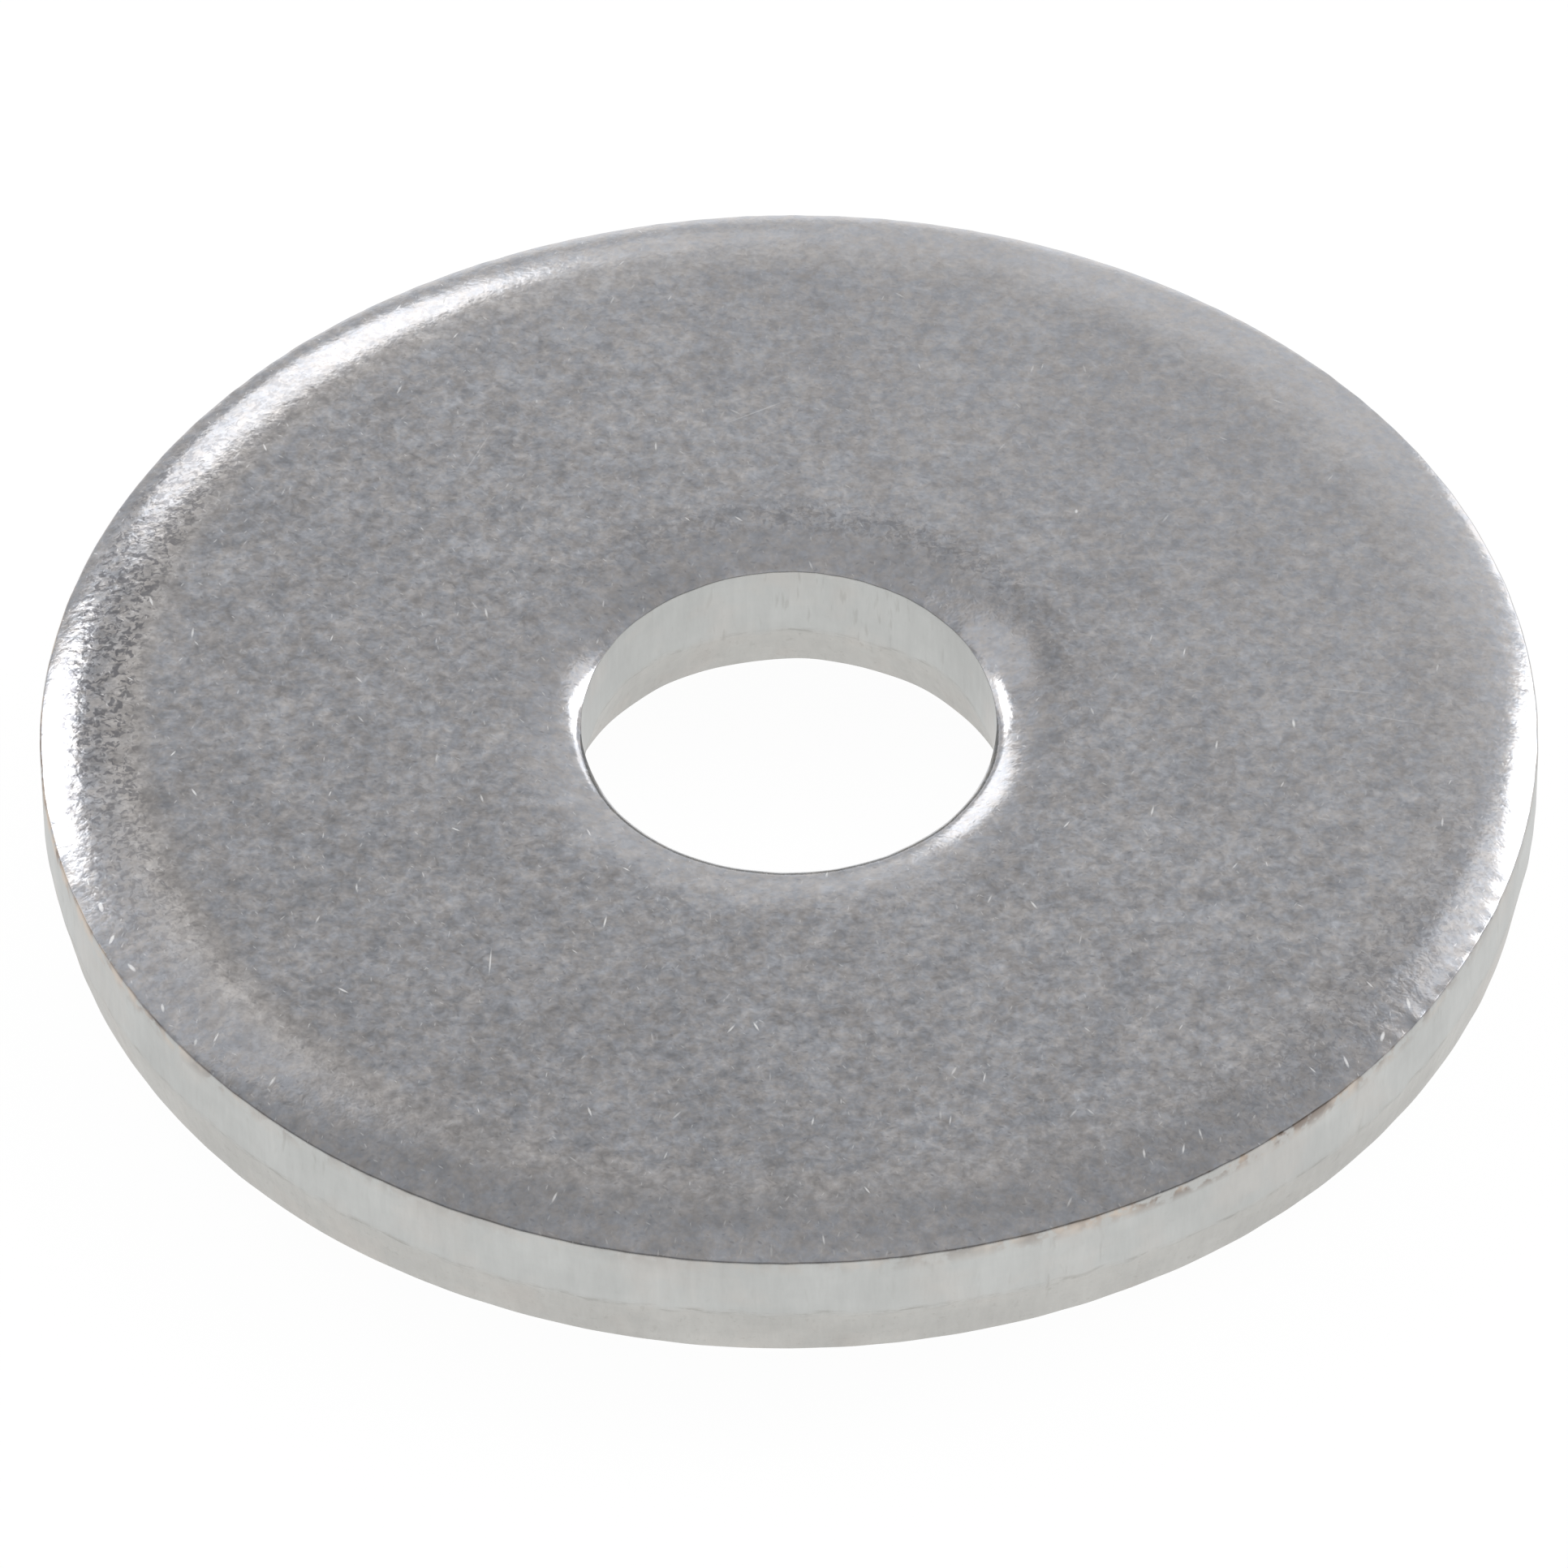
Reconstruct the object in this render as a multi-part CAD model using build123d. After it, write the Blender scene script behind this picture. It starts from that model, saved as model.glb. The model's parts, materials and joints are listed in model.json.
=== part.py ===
"""Large-diameter flat washer for an M8 bolt, 30 mm across and 3 mm thick, stamped from steel strip.

A flat washer is one piece. Its shape comes from the shearing: on the upper face both the rim and the hole
are drawn down into a soft shoulder, called the die roll. Below each shoulder's crest the wall is first a
straight, burnished land, and then a breakout that leans away from the land, down to the lower face.

The frame: origin at the centre of the lower face, which lies on the work, and +Z along the bolt axis, up to
the die-roll face. Units are millimetres.
"""

from build123d import *
import os

# Driving dimensions
OUTER_DIAMETER = 30.0
HOLE_DIAMETER = 8.3  # clearance hole for an M8 bolt
THICKNESS = 3.0

# Shoulders on the upper face: how far each reaches from its crest, and how far the crests are below the face
RIM_ROLL_WIDTH = 2.2
HOLE_ROLL_WIDTH = 2.15
ROLL_DEPTH = 0.36
# A shoulder is two tangent arcs. The tight one, next to the wall, takes these shares of width and depth.
TIGHT_WIDTH_SHARE = 0.36
TIGHT_DEPTH_SHARE = 0.68

# Sheared walls: how high the breakouts are, and how far each leans from its land
BREAKOUT_HEIGHT = 1.188
RIM_BREAKOUT = 0.23
HOLE_BREAKOUT = 0.34

CREST_HEIGHT = THICKNESS - ROLL_DEPTH


def shoulder(wall_radius, inward, width):
    """The half-section's shoulder, as edges from the flat face out to the crest.

    inward is -1 at the rim, where the flat face is nearer the axis than the wall is, and +1 at the hole.
    """
    start = (wall_radius + inward * width, THICKNESS)
    joint_radius = wall_radius + inward * width * TIGHT_WIDTH_SHARE
    joint_height = THICKNESS - ROLL_DEPTH * (1 - TIGHT_DEPTH_SHARE)
    crest = (wall_radius, CREST_HEIGHT)
    gentle = TangentArc(start, (joint_radius, joint_height), tangent=(-inward, 0))
    tight = TangentArc(gentle @ 1, crest, tangent=gentle % 1)
    return gentle, tight


def wall(radius, lean):
    """The half-section's wall, as edges from the crest down the land and the breakout to the lower face."""
    land = Line((radius, CREST_HEIGHT), (radius, BREAKOUT_HEIGHT))
    breakout = Line(land @ 1, (radius + lean, 0))
    return land, breakout


def half_section(outer_radius, hole_radius):
    """The washer's closed outline on one side of its axis, with X as radius and Y as height."""
    rim_shoulder = shoulder(outer_radius, -1, RIM_ROLL_WIDTH)
    rim_wall = wall(outer_radius, -RIM_BREAKOUT)
    hole_shoulder = shoulder(hole_radius, 1, HOLE_ROLL_WIDTH)
    hole_wall = wall(hole_radius, HOLE_BREAKOUT)
    upper_face = Line(hole_shoulder[0] @ 0, rim_shoulder[0] @ 0)
    lower_face = Line(hole_wall[1] @ 1, rim_wall[1] @ 1)
    return make_face([upper_face, *rim_shoulder, *rim_wall, lower_face, *hole_wall, *hole_shoulder])


def washer():
    """The half-section stood up on the XZ plane and turned about the bolt axis."""
    section = half_section(OUTER_DIAMETER / 2, HOLE_DIAMETER / 2)
    return revolve(Plane.XZ * section, axis=Axis.Z)


os.makedirs("parts", exist_ok=True)
export_step(washer(), "parts/washer.step")

hole_land = CREST_HEIGHT - BREAKOUT_HEIGHT
print("hole's land:", round(hole_land, 4), "long, centred at height", round(BREAKOUT_HEIGHT + hole_land / 2, 4))
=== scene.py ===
"""A stamped, zinc-plated flat washer on a white table, lit by softboxes from the left and the right.

Lengths are in millimetres inside this script, and are turned into metres where Blender objects are made.
Azimuths on the washer are in degrees about the bolt axis, from +X towards +Y, so 270 is nearest the camera.
"""

import json
import math

import bpy
import numpy as np
from mathutils import Matrix, Vector


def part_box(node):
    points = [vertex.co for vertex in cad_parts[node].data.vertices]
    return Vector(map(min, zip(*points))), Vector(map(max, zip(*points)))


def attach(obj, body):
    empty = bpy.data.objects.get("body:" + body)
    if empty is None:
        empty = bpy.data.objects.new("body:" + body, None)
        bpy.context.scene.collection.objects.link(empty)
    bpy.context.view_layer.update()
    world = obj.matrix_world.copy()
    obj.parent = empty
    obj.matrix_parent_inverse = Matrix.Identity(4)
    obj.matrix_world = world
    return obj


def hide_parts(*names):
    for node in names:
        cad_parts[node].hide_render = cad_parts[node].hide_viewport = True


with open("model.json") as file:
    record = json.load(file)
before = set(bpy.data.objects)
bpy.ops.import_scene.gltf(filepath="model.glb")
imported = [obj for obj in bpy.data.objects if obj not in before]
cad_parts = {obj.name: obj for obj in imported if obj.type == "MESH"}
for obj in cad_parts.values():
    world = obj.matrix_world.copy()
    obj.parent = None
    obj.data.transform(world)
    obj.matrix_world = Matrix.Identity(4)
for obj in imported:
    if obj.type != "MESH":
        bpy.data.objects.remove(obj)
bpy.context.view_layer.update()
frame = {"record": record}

MM = 0.001  # metres in a millimetre
NODE = "washer"

# The die roll: a shoulder drops as a power of the share of its width that it has run, from flat face to wall
RIM_ROLL_WIDTH = 2.2
RIM_ROLL_DEPTH = 0.36
RIM_ROLL_POWER = 2.6
RIM_CREST_RADIUS = 0.075
HOLE_ROLL_WIDTH = 2.15
HOLE_ROLL_DEPTH = 0.40
HOLE_ROLL_LEAN = 0.20  # how much deeper the hole's roll is in front, and shallower at the back
HOLE_ROLL_POWER = 2.5
HOLE_CREST_RADIUS = 0.03
CREST_JAG = 0.002
JAG_REACH = 14  # the power by which the crest's jags die away along the shoulder

# What a shoulder drops beyond its gentle depth, it drops in a steep lip at its crest
RIM_GENTLE_DEPTH = 1.0
HOLE_GENTLE_DEPTH = 0.36
LIP_POWER = 26
LIP_BLEND = 0.09  # the change of depth over which the lip comes in

# The sheared walls
LAND_SHARE = 0.55
RIM_BREAKOUT = 0.23
HOLE_BREAKOUT = 0.34
WALL_INSET = 0.008  # keeps the uneven wall inside the true cylinder
WALL_WAVINESS = 0.003
TEAR_WIDTH = 0.10
TEAR_SWAY = 0.06
TEAR_JAG = 0.02
TORN_DEPTH = 0.008
LOWER_EDGE_RADIUS = 0.05
UNEVENNESS = 0.03  # the spread of the roll's width and depth, and of the breakout's lean, as a share

# Mesh fineness, and what the materials are told about each point of the mesh
SEGMENTS = 840
SHOULDER_RINGS = 20
SHOULDER_CROWDING = 0.8  # how the shoulder's rings crowd towards the crest, as a power
CREST_RINGS = 7
LAND_RINGS = 5
BREAKOUT_RINGS = 10
LOWER_EDGE_RINGS = 3
UPPER_FACE_RINGS = 16
LOWER_FACE_RINGS = 6
FINEST_WAVES = 14  # the most waves that a line round a wall has, for each millimetre of the wall's radius
RIM_SEED = 11
HOLE_SEED = 51
CREST_SPLIT = 0.4  # the share of the crest's arc that belongs to the face, and the rest to the wall
TANNED_SPAN = (0.0, 0.12, 0.3, 0.6)  # where across a shoulder the tan starts, is full, fades and ends
MARKS = ("rolled", "tanned", "peened", "crest", "breakout", "tear")

# Colours of the plating and of the marks in it
COOL_ZINC = (0.520, 0.534, 0.572, 1)
WARM_ZINC = (0.570, 0.551, 0.548, 1)
TAN = (0.69, 0.655, 0.63, 1)
PIT_AND_SHADE = (0.20, 0.20, 0.22, 1)
# the crest line's brown is partly a stain and partly painted shade
BROWN_STAIN_AND_SHADE = (0.26, 0.21, 0.18, 1)
PALE_STAIN = (0.62, 0.53, 0.45, 1)
DULL_LAND = (0.508, 0.518, 0.506, 1)
BRIGHT_LAND = (0.560, 0.566, 0.554, 1)
DULL_BREAKOUT = (0.515, 0.512, 0.492, 1)
BRIGHT_BREAKOUT = (0.577, 0.570, 0.546, 1)
WARM_PATCH = (0.60, 0.55, 0.51, 1)
GRIME = (0.24, 0.23, 0.20, 1)

# Noise textures: scale in cells to a millimetre, then detail, roughness and distortion
FINE_GRAIN = (8.0, 1.0, 0.6, 0.5)
GRAIN = (3.6, 2.0, 0.7, 0.4)
COARSE_GRAIN = (1.2, 2.0, 0.6)
FACE_CLOUDS = (0.22, 3.0, 0.55)
TINT_PATCHES = (3.2, 3.0, 0.75)
CHIPS_AND_SHADE = (6.5, 2.0, 0.6, 0.8)
SMALL_DENTS = (9.0, 1.0, 0.5)
LARGE_DENTS = (3.0, 1.0)
STAIN_PATCHES = (0.9, 3.0, 0.6)
STAIN_GAPS = (2.5, 3.0, 0.6)
WALL_BANDS = (1.3, 4.0, 0.7)
WALL_STREAKS = (5.0, 3.0, 0.7)
WALL_CLOUDS = (0.4, 3.0, 0.6)
WARM_PATCHES = (0.55, 3.0, 0.6)
SPECKS = (6.0, 3.0, 0.7)
SCUFFS = (6.0, 2.0, 0.6)
SCUFFED_PATCHES = (0.35, 1.0)
TEAR_GAPS = (4.0, 4.0, 0.8)
WALL_GRAIN = (7.0, 3.0, 0.6)

# Flecks: cells to a millimetre, then a fleck's length and width, and the share of cells that have one
LONG_FLECKS = (0.9, 0.34, 0.065, 0.36)
SHORT_FLECKS = (3.2, 0.18, 0.05, 0.7)
PITS = (4.2, 0.16, 0.07, 0.8)
PIT_TURN = 2.0  # radians
LONG_STRENGTH = 0.95
SHORT_STRENGTH = 0.4
PIT_STRENGTH = 0.38

# Depths of the relief, and how rough the metal is
FINE_GRAIN_DEPTH = 0.0015
GRAIN_DEPTH = 0.004
SMALL_DENT_DEPTH = 0.003
LARGE_DENT_DEPTH = 0.008
LAND_DEPTH = 0.003
BREAKOUT_DEPTH = 0.010
FACE_ROUGHNESS = (0.13, 0.18)
FLECK_ROUGHNESS = 0.4
LAND_ROUGHNESS = 0.42
BREAKOUT_ROUGHNESS = 0.52

# The room's light by height, from the horizon up, as pairs of height and level
BACK_LEVELS = (
    (0.0, 1.0), (0.03, 1.0), (0.12, 0.62), (0.50, 0.62), (0.64, 0.53),
    (0.73, 0.45), (0.88, 0.46), (0.94, 0.45), (1.0, 0.53),
)
FRONT_LEVELS = ((0.0, 1.0), (0.05, 1.0), (0.18, 0.50), (0.5, 0.20), (0.8, 0.28), (0.94, 0.44), (1.0, 0.53))

# Softboxes: name, shape, azimuth, elevation, then distance, width and height in metres, and radiance
SOFTBOXES = (
    ("left_softbox", "ELLIPSE", -38.5, 32.5, 0.2, 0.054, 0.064, 2.0),
    ("left_outer", "ELLIPSE", -50, 28, 0.2, 0.110, 0.100, 0.45),
    ("left_spill", "ELLIPSE", -17.5, 25, 0.09, 0.028, 0.028, 0.88),
    ("left_glow", "ELLIPSE", -9, 22, 0.12, 0.040, 0.035, 0.12),
    ("left_upper", "ELLIPSE", -38, 51.5, 0.2, 0.12, 0.063, 0.22),
    ("right_softbox", "RECTANGLE", 50.5, 28, 0.6, 0.30, 0.27, 2.4),
    ("right_low", "ELLIPSE", 31, 14, 0.4, 0.10, 0.10, 0.8),
    ("right_upper", "RECTANGLE", 42, 47, 0.6, 0.18, 0.095, 0.55),
)

# The table: its radius in metres, how far its top is under the washer, and its own grey and glow
FLOOR_RADIUS = 1.5
FLOOR_DROP = 0.02
FLOOR_LEVEL = 0.10
FLOOR_GLOW = 0.95

# Camera: far off, through a long lens
CAMERA_ELEVATION = 44.63
CAMERA_ROLL = -0.456
CAMERA_DISTANCE = 305.5
CAMERA_TARGET = (-0.106, -1.775, 2.64)
CAMERA_LENS = 351.8
SENSOR_WIDTH = 36.0
CLIP_START = 0.01  # metres
CLIP_END = 5.0

TO_BACK = (0.64, 0.77, 0.0)  # the way across the face towards which painted light makes the face lighter, and the plating grows calmer

# Scratches on the upper face, painted bright in the colour as glints, and at radius 14.6 and over, painted
# highlights on the rim's crest: azimuth, radius, length, width, turn from +Y, and strength
SCRATCHES_AND_GLINTS = (
    (230.0, 9.2, 0.95, 0.05, -3, 0.8),
    (238.5, 7.0, 0.42, 0.06, -10, 1.0),
    (337.5, 7.8, 0.40, 0.06, -12, 0.9),
    (285.0, 11.9, 0.34, 0.05, -6, 0.8),
    (290.0, 11.0, 0.36, 0.05, -10, 0.9),
    (130.0, 12.3, 0.36, 0.07, -20, 0.6),
    (44.0, 8.15, 0.16, 0.09, 0, 1.0),
    (63.0, 11.1, 0.30, 0.06, -15, 0.5),
    (11.0, 8.1, 0.30, 0.05, -10, 0.9),
    (15.0, 7.55, 0.30, 0.05, -12, 0.7),
    (357.0, 10.1, 0.34, 0.09, 4, 1.0),
    (223.0, 9.2, 0.30, 0.05, -8, 0.4),
    (311.0, 8.7, 0.40, 0.05, -10, 0.5),
    (94.0, 8.7, 2.0, 0.05, -62, 0.35),
    (130.0, 9.8, 2.3, 0.05, -24, 0.25),
    (2.0, 11.2, 2.6, 0.05, 82, 0.30),
    (358.0, 12.0, 2.2, 0.05, 76, 0.30),
    (225.0, 14.35, 0.34, 0.08, -30, 0.9),
    (302.0, 14.35, 0.30, 0.06, -8, 0.9),
    (304.0, 14.2, 0.26, 0.06, 12, 0.8),
    (299.0, 14.1, 0.30, 0.07, 4, 0.9),
    (275.0, 11.0, 0.20, 0.05, 0, 0.6),
    (89.0, 9.5, 1.1, 0.5, 5, 0.14),
    (72.0, 7.9, 0.9, 0.5, -20, 0.12),
    (108.0, 7.9, 1.2, 0.5, -35, 0.12),
    (155.0, 6.7, 0.4, 0.07, 10, 0.7),
    (169.0, 12.2, 0.4, 0.07, -5, 0.7),
    (202.0, 6.6, 0.3, 0.07, 15, 0.7),
    (210.0, 9.9, 0.3, 0.06, 0, 0.7),
    (212.0, 11.0, 0.3, 0.06, -20, 0.6),
    (272.0, 11.5, 0.3, 0.06, -10, 0.8),
    (306.0, 6.7, 0.3, 0.06, -20, 0.7),
    (201.0, 14.60, 0.34, 0.12, 15, 0.8),
    (204.5, 14.72, 0.28, 0.10, -20, 0.9),
    (208.0, 14.70, 0.34, 0.10, 35, 0.8),
    (213.0, 14.72, 0.28, 0.09, 10, 0.8),
    (217.5, 14.72, 0.22, 0.09, -10, 0.7),
    (318.0, 14.60, 0.36, 0.08, 20, 0.8),
    (322.0, 14.70, 0.34, 0.10, -15, 0.9),
    (326.0, 14.62, 0.36, 0.10, 10, 0.8),
)


# ---------------------------------------------------------------- irregular lines

AZIMUTHS = np.linspace(0, 2 * math.pi, SEGMENTS, endpoint=False)


def uneven(seed, slowest, fastest):
    """A smooth closed line round the washer, of unit spread, made of that many to that many waves a turn."""
    draw = np.random.RandomState(seed)
    turns = np.arange(slowest, fastest + 1)
    phases = draw.uniform(0, 2 * math.pi, len(turns))
    heights = draw.uniform(0.5, 1.0, len(turns))
    line = sum(h * np.cos(t * AZIMUTHS + p) for t, p, h in zip(turns, phases, heights))
    return line / math.sqrt((heights**2).sum() / 2)


def near(centre, spread):
    """1 at an azimuth in degrees, falling to 0 over a spread in degrees."""
    away = np.degrees(np.angle(np.exp(1j * (AZIMUTHS - math.radians(centre)))))
    return np.exp(-((away / spread) ** 2))


def window(value, start, full, fading, end):
    """0 up to a start, 1 from full to fading, and 0 again from the end on."""
    return np.interp(value, (start, full, fading, end), (0, 1, 1, 0))


def shares(count, power=1.0):
    """Shares from above 0 up to 1, crowded towards 1 by a power under 1."""
    return [((i + 1) / count) ** power for i in range(count)]


# ---------------------------------------------------------------- the washer's mesh


class Ring:
    """One closed ring of the skin: a radius and a height at each azimuth, and how it is marked."""

    def __init__(self, radius, height, sheared=False, **marks):
        blank = np.zeros(SEGMENTS)
        self.radius = radius + blank
        self.height = height + blank
        self.marks = {name: marks.get(name, 0.0) + blank for name in MARKS}
        self.sheared = sheared


class Side:
    """One end of the half-section, the rim or the hole, from the flat upper face down to the lower face."""

    def __init__(
        self, wall_radius, outward, thickness, seed, *,
        roll_width, roll_depth, roll_lean, roll_power, gentle_depth, crest_radius, breakout, jag,
        tanned, peened, peened_and_shaded_span, stained_and_shaded,
    ):
        self.outward = outward
        self.thickness = thickness
        self.seed = seed
        self.waves = FINEST_WAVES * wall_radius
        self.roll_power = roll_power
        self.crest_radius = crest_radius
        self.tanned = tanned
        self.peened = peened
        self.peened_and_shaded_span = peened_and_shaded_span
        self.stained_and_shaded = stained_and_shaded
        self.set_roll(roll_width, roll_depth, roll_lean, gentle_depth)
        self.set_wall(wall_radius, breakout, jag)

    def uneven(self, draw, slowest, fastest):
        """One of this side's own irregular lines."""
        return uneven(self.seed + draw, slowest, int(fastest))

    def set_roll(self, width, depth, lean, gentle_depth):
        """The shoulder's width, depth and slope at its crest, all the way round."""
        self.roll_width = width * (1 + UNEVENNESS * self.uneven(0, 1, 4))
        self.roll_depth = depth * (1 + UNEVENNESS * self.uneven(1, 2, 7)) - lean * np.sin(AZIMUTHS)
        deeper = self.roll_depth - gentle_depth
        self.lip = (deeper + np.hypot(deeper, LIP_BLEND)) / 2
        self.gentle = self.roll_depth - self.lip
        self.slope = np.arctan((self.roll_power * self.gentle + LIP_POWER * self.lip) / width)

    def set_wall(self, wall_radius, breakout, jag):
        """The wall's radius, the height of its tear line, and its foot, all the way round."""
        self.jag = jag * self.uneven(2, int(self.waves * 0.35), self.waves)
        inset = WALL_INSET + WALL_WAVINESS * self.uneven(3, 8, self.waves * 0.5)
        self.wall = wall_radius - self.outward * inset.clip(0)
        land_end = (self.thickness - RIM_ROLL_DEPTH) * (1 - LAND_SHARE)
        sway = TEAR_SWAY * self.uneven(4, 2, 9)
        self.land_z = land_end + sway + TEAR_JAG * self.uneven(5, 12, self.waves * 0.6)
        self.foot = self.wall - self.outward * breakout * (1 + UNEVENNESS * self.uneven(6, 2, 12))

    @property
    def crest_z(self):
        """The height of the sharp corner that the crest's arc rounds off."""
        return self.thickness - self.roll_depth + self.jag

    @property
    def tangent(self):
        """From that corner to either end of the arc."""
        return self.crest_radius * np.tan((math.pi / 2 - self.slope) / 2)

    def drop(self, run):
        """How far the shoulder has dropped where it has run that share of its width."""
        return self.gentle * run**self.roll_power + self.lip * run**LIP_POWER

    def shoulder(self):
        """The die roll's rings, up to where the crest's arc takes over."""
        end = 1 - self.tangent * np.cos(self.slope) / self.roll_width
        rings = [Ring(self.wall - self.outward * self.roll_width, self.thickness)]
        for share in shares(SHOULDER_RINGS, SHOULDER_CROWDING):
            run = share * end
            radius = self.wall - self.outward * self.roll_width * (1 - run)
            height = self.thickness - self.drop(run) + self.jag * run**JAG_REACH
            tanned = self.tanned * window(run, *TANNED_SPAN)
            peened = self.peened * window(run, *self.peened_and_shaded_span)
            rings.append(Ring(radius, height, rolled=run, tanned=tanned, peened=peened))
        return rings

    def crest(self):
        """The arc that rounds the shoulder over into the wall."""
        rings = []
        for share in shares(CREST_RINGS):
            lean = self.slope + (math.pi / 2 - self.slope) * share
            radius = self.wall - self.outward * self.crest_radius * (1 - np.sin(lean))
            height = self.crest_z - self.tangent + self.crest_radius * np.cos(lean)
            rings.append(Ring(radius, height, share > CREST_SPLIT, rolled=1.0, crest=self.stained_and_shaded))
        return rings

    def land(self):
        """The straight, burnished wall under the crest."""
        top = self.crest_z - self.tangent - self.crest_radius
        end = self.land_z + TEAR_WIDTH
        rings = [Ring(self.wall, top, True, rolled=1.0, crest=0.9 * self.stained_and_shaded)]
        for share in shares(LAND_RINGS):
            rings.append(Ring(self.wall, top + (end - top) * share, True, rolled=1.0))
        return rings

    def breakout(self):
        """The torn wall, from the tear line to where the lower edge starts."""
        rings = [Ring(self.wall, self.land_z, True, rolled=1.0, tear=1.0, breakout=0.5)]
        for share in shares(BREAKOUT_RINGS):
            torn = self.uneven(20 + int(share * 10), 12, self.waves)
            radius = self.wall + (self.foot - self.wall) * share
            radius = radius - self.outward * TORN_DEPTH * np.abs(torn) * math.sin(math.pi * share)
            height = self.land_z + (LOWER_EDGE_RADIUS - self.land_z) * share
            rings.append(Ring(radius, height, True, rolled=1.0, breakout=1.0))
        return rings

    def lower_edge(self):
        """The small round where the wall meets the lower face."""
        rings = []
        for share in shares(LOWER_EDGE_RINGS):
            turned = share * math.pi / 2
            radius = self.foot - self.outward * LOWER_EDGE_RADIUS * (1 - math.cos(turned))
            height = LOWER_EDGE_RADIUS * (1 - math.sin(turned))
            rings.append(Ring(radius, height, True, rolled=1.0, breakout=1.0))
        return rings

    def rings(self):
        """All of this side's rings, from the upper face to the lower."""
        return self.shoulder() + self.crest() + self.land() + self.breakout() + self.lower_edge()


def between(first, last, count):
    """Plain rings between two rings of a flat face."""
    rings = []
    for share in shares(count + 1)[:-1]:
        radius = first.radius + (last.radius - first.radius) * share
        rings.append(Ring(radius, first.height + (last.height - first.height) * share))
    return rings


def rim_side(radius, thickness):
    """The rim: jagged at the right front, tanned and chipped at the left, with painted shade in its chips
    and its crest line.
    """
    return Side(
        radius, 1, thickness, RIM_SEED,
        roll_width=RIM_ROLL_WIDTH,
        roll_depth=RIM_ROLL_DEPTH,
        roll_lean=0.0,
        roll_power=RIM_ROLL_POWER,
        gentle_depth=RIM_GENTLE_DEPTH,
        crest_radius=RIM_CREST_RADIUS,
        breakout=RIM_BREAKOUT,
        jag=CREST_JAG * (1 + 2 * near(328, 22)),
        tanned=0.25 + 0.75 * near(190, 75),
        # where the shoulder is peened, and where its dark chips paint shade beside the highlights, at the
        # left and the right front
        peened=0.1 + 0.9 * near(173, 30) + 0.3 * near(325, 26),
        peened_and_shaded_span=(0.06, 0.24, 0.8, 0.97),
        # the crest line's stain and painted shade, darkest at the right front and the left
        stained_and_shaded=0.15 + 0.85 * near(304, 20) + 0.8 * near(190, 30),
    )


def hole_side(radius, thickness):
    """The hole, with its die roll deeper in front than at the back."""
    return Side(
        radius, -1, thickness, HOLE_SEED,
        roll_width=HOLE_ROLL_WIDTH,
        roll_depth=HOLE_ROLL_DEPTH,
        roll_lean=HOLE_ROLL_LEAN,
        roll_power=HOLE_ROLL_POWER,
        gentle_depth=HOLE_GENTLE_DEPTH,
        crest_radius=HOLE_CREST_RADIUS,
        breakout=HOLE_BREAKOUT,
        jag=CREST_JAG,
        tanned=0.0,
        peened=0.1 + 0.35 * near(70, 60),
        peened_and_shaded_span=(0.05, 0.2, 0.4, 0.6),
        stained_and_shaded=0.0,
    )


def washer_rings(outer_radius, hole_radius, thickness):
    """Every ring round the half-section: upper face, rim, lower face and hole."""
    rim = rim_side(outer_radius, thickness).rings()
    hole = hole_side(hole_radius, thickness).rings()
    upper_face = between(hole[0], rim[0], UPPER_FACE_RINGS)
    lower_face = between(rim[-1], hole[-1], LOWER_FACE_RINGS)
    return upper_face + rim + lower_face + hole[::-1]


def ring_faces(rings):
    """The skin's four-sided faces between each ring and the next, and each face's material."""
    faces = []
    materials = []
    for i, ring in enumerate(rings):
        k = (i + 1) % len(rings)
        for j in range(SEGMENTS):
            n = (j + 1) % SEGMENTS
            faces.append((i * SEGMENTS + j, k * SEGMENTS + j, k * SEGMENTS + n, i * SEGMENTS + n))
        materials += [int(ring.sheared and rings[k].sheared)] * SEGMENTS
    return faces, materials


def build_washer(outer_radius, hole_radius, thickness):
    """The washer's one piece, with the marks kept on its mesh for the materials."""
    rings = washer_rings(outer_radius, hole_radius, thickness)
    x = np.cos(AZIMUTHS)
    y = np.sin(AZIMUTHS)
    points = np.concatenate([np.stack([r.radius * x, r.radius * y, r.height], axis=1) for r in rings])
    faces, materials = ring_faces(rings)
    mesh = bpy.data.meshes.new("zinc_washer")
    mesh.from_pydata((points * MM).tolist(), [], faces)
    mesh.polygons.foreach_set("material_index", materials)
    mesh.polygons.foreach_set("use_smooth", [True] * len(faces))
    for name in MARKS:
        attribute = mesh.attributes.new(name, "FLOAT", "POINT")
        values = np.concatenate([ring.marks[name] for ring in rings])
        attribute.data.foreach_set("value", values.astype(np.float32))
    mesh.update()
    piece = bpy.data.objects.new("zinc_washer", mesh)
    bpy.context.scene.collection.objects.link(piece)
    return piece


# ---------------------------------------------------------------- node helpers


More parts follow.
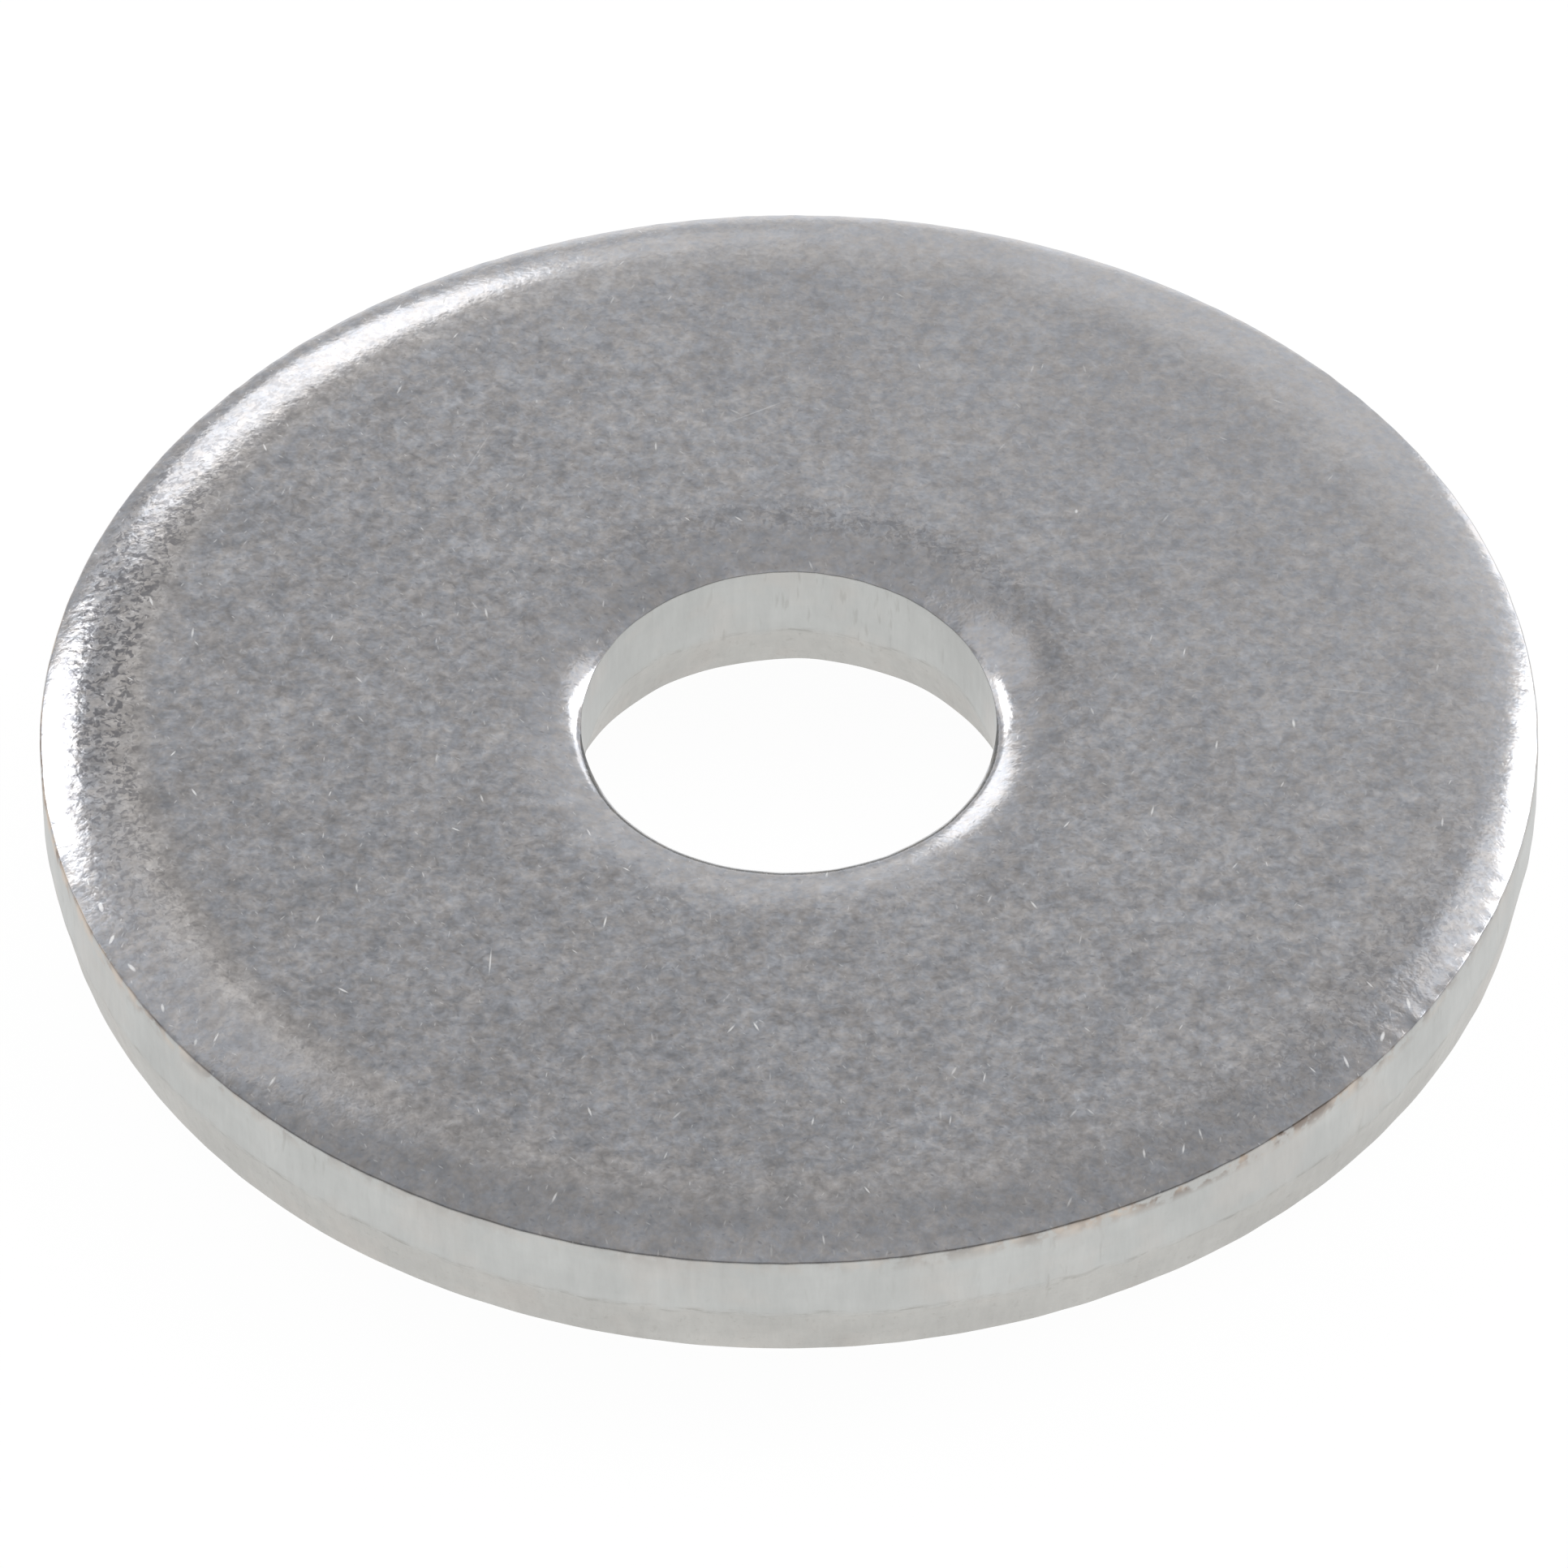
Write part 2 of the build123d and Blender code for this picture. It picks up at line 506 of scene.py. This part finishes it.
class Nodes:
    """Short names for making and joining shader nodes."""

    def __init__(self, tree):
        self.tree = tree
        tree.nodes.clear()

    def add(self, kind, inputs=(), **settings):
        made = self.tree.nodes.new("ShaderNode" + kind)
        for name, value in settings.items():
            setattr(made, name, value)
        for name, value in dict(inputs).items():
            self.join(value, made.inputs[name])
        return made

    def join(self, value, socket):
        if isinstance(value, bpy.types.NodeSocket):
            self.tree.links.new(value, socket)
        else:
            socket.default_value = value

    def maths(self, operation, *values):
        return self.add("Math", enumerate(values), operation=operation).outputs[0]

    def times(self, product, *others):
        """The product of two or more values."""
        for other in others:
            product = self.maths("MULTIPLY", product, other)
        return product

    def vector(self, operation, *values):
        made = self.add("VectorMath", enumerate(values), operation=operation)
        return made.outputs["Value" if operation in ("LENGTH", "DOT_PRODUCT") else "Vector"]

    def turn(self, vector, angle):
        """A vector turned about Z."""
        inputs = {"Vector": vector, "Angle": angle}
        return self.add("VectorRotate", inputs, rotation_type="Z_AXIS").outputs[0]

    def noise(self, place, scale, detail=2.0, roughness=0.5, distortion=0.0):
        inputs = {"Vector": place, "Scale": scale, "Detail": detail, "Roughness": roughness}
        return self.add("TexNoise", {**inputs, "Distortion": distortion}).outputs["Fac"]

    def spread(self, value, low, high, to_low=0.0, to_high=1.0, smooth=False):
        """A value between two bounds, spread over another span and clamped to it."""
        kind = "SMOOTHSTEP" if smooth else "LINEAR"
        inputs = {"Value": value, "From Min": low, "From Max": high, "To Min": to_low, "To Max": to_high}
        return self.add("MapRange", inputs, interpolation_type=kind).outputs["Result"]

    def between(self, share, a, b):
        """A number that share of the way from one to another."""
        return self.add("Mix", {0: share, 2: a, 3: b}, data_type="FLOAT").outputs[0]

    def mix(self, share, a, b, blend="MIX"):
        """A colour that share of the way from one to another."""
        made = self.add("Mix", data_type="RGBA", blend_type=blend)
        for value, socket in ((share, made.inputs[0]), (a, made.inputs[6]), (b, made.inputs[7])):
            self.join(value, socket)
        return made.outputs[2]

    def shade(self, colour, tone):
        """A colour made lighter or darker."""
        tones = self.add("CombineColor", {0: tone, 1: tone, 2: tone}).outputs[0]
        return self.mix(1.0, colour, tones, "MULTIPLY")

    def attribute(self, name):
        return self.add("Attribute", attribute_name=name).outputs["Fac"]


def grey(level):
    return (level, level, level, 1.0)


def new_material(name):
    material = bpy.data.materials.new(name)
    material.use_nodes = True
    return material, Nodes(material.node_tree)


def millimetres(nodes):
    """Where a shaded point is in the washer's own frame, in millimetres."""
    place = nodes.add("TexCoord").outputs["Object"]
    return nodes.add("VectorMath", {0: place, "Scale": 1 / MM}, operation="SCALE").outputs[0]


# ---------------------------------------------------------------- marks in the plating


def scratch_and_glint(nodes, place, azimuth, radius, length, width, turn, strength):
    """A spindle-shaped mask over one listed mark, painted bright as a glint."""
    a = math.radians(azimuth)
    mapping = nodes.add("Mapping", {"Vector": place}, vector_type="TEXTURE")
    mapping.inputs["Location"].default_value = (radius * math.cos(a), radius * math.sin(a), 0)
    mapping.inputs["Rotation"].default_value = (0, 0, math.radians(turn))
    mapping.inputs["Scale"].default_value = (width / 2, length / 2, 10)
    away = nodes.vector("LENGTH", mapping.outputs[0])
    return nodes.spread(away, 1.0, 0.3, 0.0, strength, smooth=True)


def all_scratches_and_glints(nodes, place):
    """The mask of all the single scratches and crest highlights, painted bright as glints."""
    mask = 0.0
    for marks in SCRATCHES_AND_GLINTS:
        mask = nodes.maths("MAXIMUM", mask, scratch_and_glint(nodes, place, *marks))
    return mask


def flecks(nodes, place, cells, length, width, share):
    """The mask of many short tumbling marks, one to a cell, most of them near the same direction."""
    flat_place = nodes.vector("MULTIPLY", place, (1, 1, 0))
    cell = nodes.add("TexVoronoi", {"Vector": flat_place, "Scale": cells}, voronoi_dimensions="2D")
    away = nodes.vector("SUBTRACT", flat_place, cell.outputs["Position"])
    red, green, blue = nodes.add("SeparateColor", {0: cell.outputs["Color"]}).outputs
    turned = nodes.turn(away, nodes.spread(red, 0, 1, -1.1, 0.7))
    reach = nodes.vector("LENGTH", nodes.vector("MULTIPLY", turned, (2 / width, 2 / length, 0)))
    size = nodes.spread(blue, 0, 1, 0.5, 1.0)
    mask = nodes.spread(nodes.maths("DIVIDE", reach, size), 1.0, 0.3, smooth=True)
    return nodes.times(mask, nodes.spread(green, 1 - share, 1, 0.0, 1.0))


def crest_stain_and_shade(nodes, place, colour):
    """The crest's thin line, brown in places and pale in others: partly a stain and partly painted shade."""
    patches = nodes.noise(place, *STAIN_PATCHES)
    stain = nodes.mix(nodes.spread(patches, 0.42, 0.58), BROWN_STAIN_AND_SHADE, PALE_STAIN)
    strength = nodes.spread(nodes.noise(place, *STAIN_GAPS), 0.44, 0.54, 0.1, 1.0)
    return nodes.mix(nodes.times(nodes.attribute("crest"), strength), colour, stain)


# ---------------------------------------------------------------- materials


def metal(nodes, colour, rough, height):
    """Finishes a material as bare metal, with a relief of a height in millimetres."""
    bump = nodes.add("Bump", {"Strength": 1.0, "Distance": MM, "Height": height})
    inputs = {"Base Color": colour, "Metallic": 1.0, "Roughness": rough, "Normal": bump.outputs[0]}
    shader = nodes.add("BsdfPrincipled", inputs)
    nodes.add("OutputMaterial", {"Surface": shader.outputs[0]})


def face_tone(nodes, place, fine, middle, mottled):
    """How light the face is: mottled from fine to broad, and plainer where less of the mottling is left."""
    coarse = nodes.noise(place, *COARSE_GRAIN)
    mottling = nodes.times(
        nodes.spread(fine, 0.34, 0.82, 0.95, 1.15),
        nodes.spread(middle, 0.3, 0.8, 0.81, 1.37),
        nodes.spread(coarse, 0.25, 0.75, 0.86, 1.14),
    )
    clouds = nodes.noise(place, *FACE_CLOUDS)
    return nodes.times(nodes.between(mottled, 0.98, mottling), nodes.spread(clouds, 0.3, 0.7, 0.96, 1.04))


def face_tint(nodes, place):
    """The zinc's colour: patches of cool and warm grey, and tan on part of the rim's shoulder."""
    patches = nodes.spread(nodes.noise(place, *TINT_PATCHES), 0.38, 0.62)
    tint = nodes.mix(patches, COOL_ZINC, WARM_ZINC)
    return nodes.mix(nodes.times(nodes.attribute("tanned"), 0.75), tint, TAN)


def marks_and_painted_glints(nodes, place, lively):
    """The mask of the single scratches, and of long and short flecks all over, all painted white as glints.
    """
    long_flecks = nodes.times(flecks(nodes, place, *LONG_FLECKS), LONG_STRENGTH)
    short_flecks = nodes.times(flecks(nodes, place, *SHORT_FLECKS), SHORT_STRENGTH)
    all_over = nodes.times(nodes.maths("MAXIMUM", long_flecks, short_flecks), lively)
    return nodes.maths("MAXIMUM", all_scratches_and_glints(nodes, place), all_over)


def dark_marks(nodes, place, lively, peened):
    """The mask of small pits all over, and of chips where a shoulder is peened, which are partly painted
    shade beside the shoulder's highlights.
    """
    pits = nodes.times(flecks(nodes, nodes.turn(place, PIT_TURN), *PITS), lively, PIT_STRENGTH)
    # painted shade: dark chips beside the shoulder's highlights, as well as real chips
    chips_and_shade = nodes.spread(nodes.noise(place, *CHIPS_AND_SHADE), 0.49, 0.59, 0.0, 0.8)
    return nodes.maths("MAXIMUM", pits, nodes.times(chips_and_shade, peened))


def face_relief(nodes, place, fine, middle, peened):
    """The face's height in millimetres: a tumbled texture all over, and dents where a shoulder is peened."""
    texture = nodes.maths("ADD", nodes.times(fine, FINE_GRAIN_DEPTH), nodes.times(middle, GRAIN_DEPTH))
    small_dents = nodes.times(nodes.noise(place, *SMALL_DENTS), SMALL_DENT_DEPTH)
    large_dents = nodes.times(nodes.noise(place, *LARGE_DENTS), LARGE_DENT_DEPTH)
    dents = nodes.times(nodes.maths("ADD", small_dents, large_dents), peened)
    return nodes.maths("ADD", texture, dents)


def zinc_face():
    """The tumbled, satin zinc of the upper and lower faces and their shoulders, livelier in front, with
    painted light that makes it lighter towards the back, painted glints on its marks, and painted shade in
    its chips and crest line.
    """
    material, nodes = new_material("zinc_face")
    place = millimetres(nodes)
    peened = nodes.attribute("peened")
    fine = nodes.noise(place, *FINE_GRAIN)
    middle = nodes.noise(place, *GRAIN)
    to_back = nodes.vector("DOT_PRODUCT", place, TO_BACK)
    lively = nodes.spread(to_back, 2.0, 12.0, 1.0, 0.5)
    off_shoulder = nodes.spread(nodes.attribute("rolled"), 0.2, 0.6, 1.0, 0.55)
    mottled = nodes.times(nodes.maths("MAXIMUM", off_shoulder, peened), lively)
    tone = face_tone(nodes, place, fine, middle, mottled)
    # painted light: the face is made darker in front and lighter towards the back, as if lit more there
    tone = nodes.times(tone, nodes.spread(to_back, -12.0, 12.0, 0.92, 1.07))
    bright = marks_and_painted_glints(nodes, place, lively)
    colour = nodes.shade(face_tint(nodes, place), tone)
    # pits, and chips that are partly painted shade
    colour = nodes.mix(dark_marks(nodes, place, lively, peened), colour, PIT_AND_SHADE)
    # painted glints: the scratches, flecks and crest highlights are turned white in the colour
    colour = nodes.mix(bright, colour, grey(1.0))
    # the crest line: a stain, and painted shade
    colour = crest_stain_and_shade(nodes, place, colour)
    rough = nodes.spread(middle, 0.3, 0.7, *FACE_ROUGHNESS)
    rough = nodes.maths("ADD", rough, nodes.times(bright, FLECK_ROUGHNESS))
    metal(nodes, colour, rough, face_relief(nodes, place, fine, middle, peened))
    return material


def wall_colour(nodes, place, upright, level, breakout):
    """The walls' greys: banded, warm in patches, streaked from top to bottom and a little cloudy."""
    bands = nodes.noise(level, *WALL_BANDS)
    land = nodes.mix(bands, DULL_LAND, BRIGHT_LAND)
    torn = nodes.mix(bands, DULL_BREAKOUT, BRIGHT_BREAKOUT)
    warmth = nodes.spread(nodes.noise(place, *WARM_PATCHES), 0.50, 0.64, 0.0, 0.25)
    colour = nodes.mix(warmth, nodes.mix(breakout, land, torn), WARM_PATCH)
    streaks = nodes.noise(upright, *WALL_STREAKS)
    colour = nodes.shade(colour, nodes.spread(streaks, 0.3, 0.7, 0.965, 1.035))
    clouds = nodes.noise(place, *WALL_CLOUDS)
    return nodes.shade(colour, nodes.spread(clouds, 0.35, 0.65, 0.94, 1.05))


def wall_grime(nodes, place, upright, level, breakout):
    """The mask of the dark specks, the upright scuffs and the tear line."""
    specks = nodes.spread(nodes.noise(place, *SPECKS), 0.60, 0.72)
    specks = nodes.times(specks, nodes.spread(breakout, 0, 1, 0.06, 0.20))
    scuffs = nodes.spread(nodes.noise(upright, *SCUFFS), 0.60, 0.70)
    scuffs = nodes.times(scuffs, nodes.spread(nodes.noise(place, *SCUFFED_PATCHES), 0.50, 0.62, 0.05, 0.2))
    ragged = nodes.spread(nodes.noise(level, *TEAR_GAPS), 0.48, 0.62, 0.0, 0.4)
    tear = nodes.times(nodes.attribute("tear"), ragged)
    return nodes.maths("MAXIMUM", nodes.maths("MAXIMUM", specks, scuffs), tear)


def zinc_wall():
    """The sheared walls: a burnished land above, a torn breakout below, and a thin crest line that is partly
    stain and partly painted shade.
    """
    material, nodes = new_material("zinc_wall")
    place = millimetres(nodes)
    upright = nodes.vector("MULTIPLY", place, (1, 1, 0.2))
    level = nodes.vector("MULTIPLY", place, (0.35, 0.35, 2.2))
    breakout = nodes.attribute("breakout")
    colour = wall_colour(nodes, place, upright, level, breakout)
    colour = nodes.mix(wall_grime(nodes, place, upright, level, breakout), colour, GRIME)
    # the crest line: a stain, and painted shade
    colour = crest_stain_and_shade(nodes, place, colour)
    rough = nodes.spread(breakout, 0, 1, LAND_ROUGHNESS, BREAKOUT_ROUGHNESS)
    depth = nodes.spread(breakout, 0, 1, LAND_DEPTH, BREAKOUT_DEPTH)
    height = nodes.times(nodes.noise(place, *WALL_GRAIN), depth)
    metal(nodes, colour, rough, height)
    return material


# ---------------------------------------------------------------- stage


def build_floor():
    """A white table that glows a little under its own light, so the washer's shadow on it is faint."""
    place = (0, 0, -FLOOR_DROP * MM)
    bpy.ops.mesh.primitive_circle_add(vertices=128, radius=FLOOR_RADIUS, fill_type="NGON", location=place)
    floor = bpy.context.object
    floor.name = "white_table"
    material, nodes = new_material("white_table")
    shader = nodes.add(
        "BsdfPrincipled",
        {
            "Base Color": grey(FLOOR_LEVEL),
            "Roughness": 1.0,
            "Specular IOR Level": 0.0,
            "Emission Color": grey(1.0),
            "Emission Strength": FLOOR_GLOW,
        },
    )
    nodes.add("OutputMaterial", {"Surface": shader.outputs[0]})
    floor.data.materials.append(material)


def ramp(nodes, value, stops):
    """Greys by value, from stops of value and level."""
    made = nodes.add("ValToRGB", {"Fac": value})
    elements = made.color_ramp.elements
    while len(elements) < len(stops):
        elements.new(0.5)
    for element, (position, level) in zip(elements, stops):
        element.position = position
        element.color = grey(level)
    return made.outputs["Color"]


def build_world():
    """A pale room: white at the horizon, grey above, darker behind the camera and to the left."""
    world = bpy.data.worlds.new("room")
    bpy.context.scene.world = world
    world.use_nodes = True
    nodes = Nodes(world.node_tree)
    way = nodes.add("TexCoord").outputs["Generated"]
    x, y, z = nodes.add("SeparateXYZ", {0: way}).outputs
    side = nodes.spread(x, -0.17, 0.14, 0.94, 1.18)
    middle_heights = nodes.maths("MINIMUM", nodes.spread(z, 0.05, 0.15), nodes.spread(z, 0.85, 0.75))
    front = ramp(nodes, z, FRONT_LEVELS)
    back = nodes.shade(ramp(nodes, z, BACK_LEVELS), nodes.between(middle_heights, 1.0, side))
    light = nodes.mix(nodes.spread(y, -0.3, 0.3, smooth=True), front, back)
    background = nodes.add("Background", {"Color": light, "Strength": 1.0})
    nodes.add("OutputWorld", {"Surface": background.outputs[0]})


def softbox(name, shape, azimuth, elevation, distance, width, height, radiance):
    """An area light facing the washer. Azimuth 0 is straight behind it from the camera, and + is right."""
    a = math.radians(azimuth)
    e = math.radians(elevation)
    way = Vector((math.sin(a) * math.cos(e), math.cos(a) * math.cos(e), math.sin(e)))
    data = bpy.data.lights.new(name, "AREA")
    data.shape = shape
    data.size = width
    data.size_y = height
    data.energy = radiance * math.pi * width * height
    light = bpy.data.objects.new(name, data)
    light.location = way * distance
    light.rotation_mode = "QUATERNION"
    light.rotation_quaternion = way.to_track_quat("Z", "Y")
    light.visible_camera = False
    bpy.context.scene.collection.objects.link(light)


def build_camera():
    """The camera of the reference view, placed by its elevation, roll and distance from its target."""
    e = math.radians(CAMERA_ELEVATION)
    roll = math.radians(CAMERA_ROLL)
    level = Vector((1, 0, 0))
    upright = Vector((0, math.sin(e), math.cos(e)))
    back = Vector((0, -math.cos(e), math.sin(e)))
    right = level * math.cos(roll) + upright * math.sin(roll)
    up = upright * math.cos(roll) - level * math.sin(roll)
    place = (Vector(CAMERA_TARGET) + back * CAMERA_DISTANCE) * MM
    data = bpy.data.cameras.new("camera")
    data.lens = CAMERA_LENS
    data.sensor_width = SENSOR_WIDTH
    data.clip_start = CLIP_START
    data.clip_end = CLIP_END
    camera = bpy.data.objects.new("camera", data)
    turn = Matrix((right, up, back)).transposed().to_4x4()
    camera.matrix_world = Matrix.Translation(place) @ turn
    bpy.context.scene.collection.objects.link(camera)
    bpy.context.scene.camera = camera


# ---------------------------------------------------------------- the scene

build_camera()
build_world()
for settings in SOFTBOXES:
    softbox(*settings)
build_floor()
bpy.context.scene.view_settings.view_transform = "Standard"

top_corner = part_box(NODE)[1]
mounts = {mount["name"]: mount for mount in frame["record"]["mounts"]}
washer = build_washer(
    outer_radius=top_corner.x / MM,
    hole_radius=mounts["bolt_hole"]["dims"]["r_mm"],
    thickness=top_corner.z / MM,
)
washer.data.materials.append(zinc_face())
washer.data.materials.append(zinc_wall())
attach(washer, "root")
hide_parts(NODE)
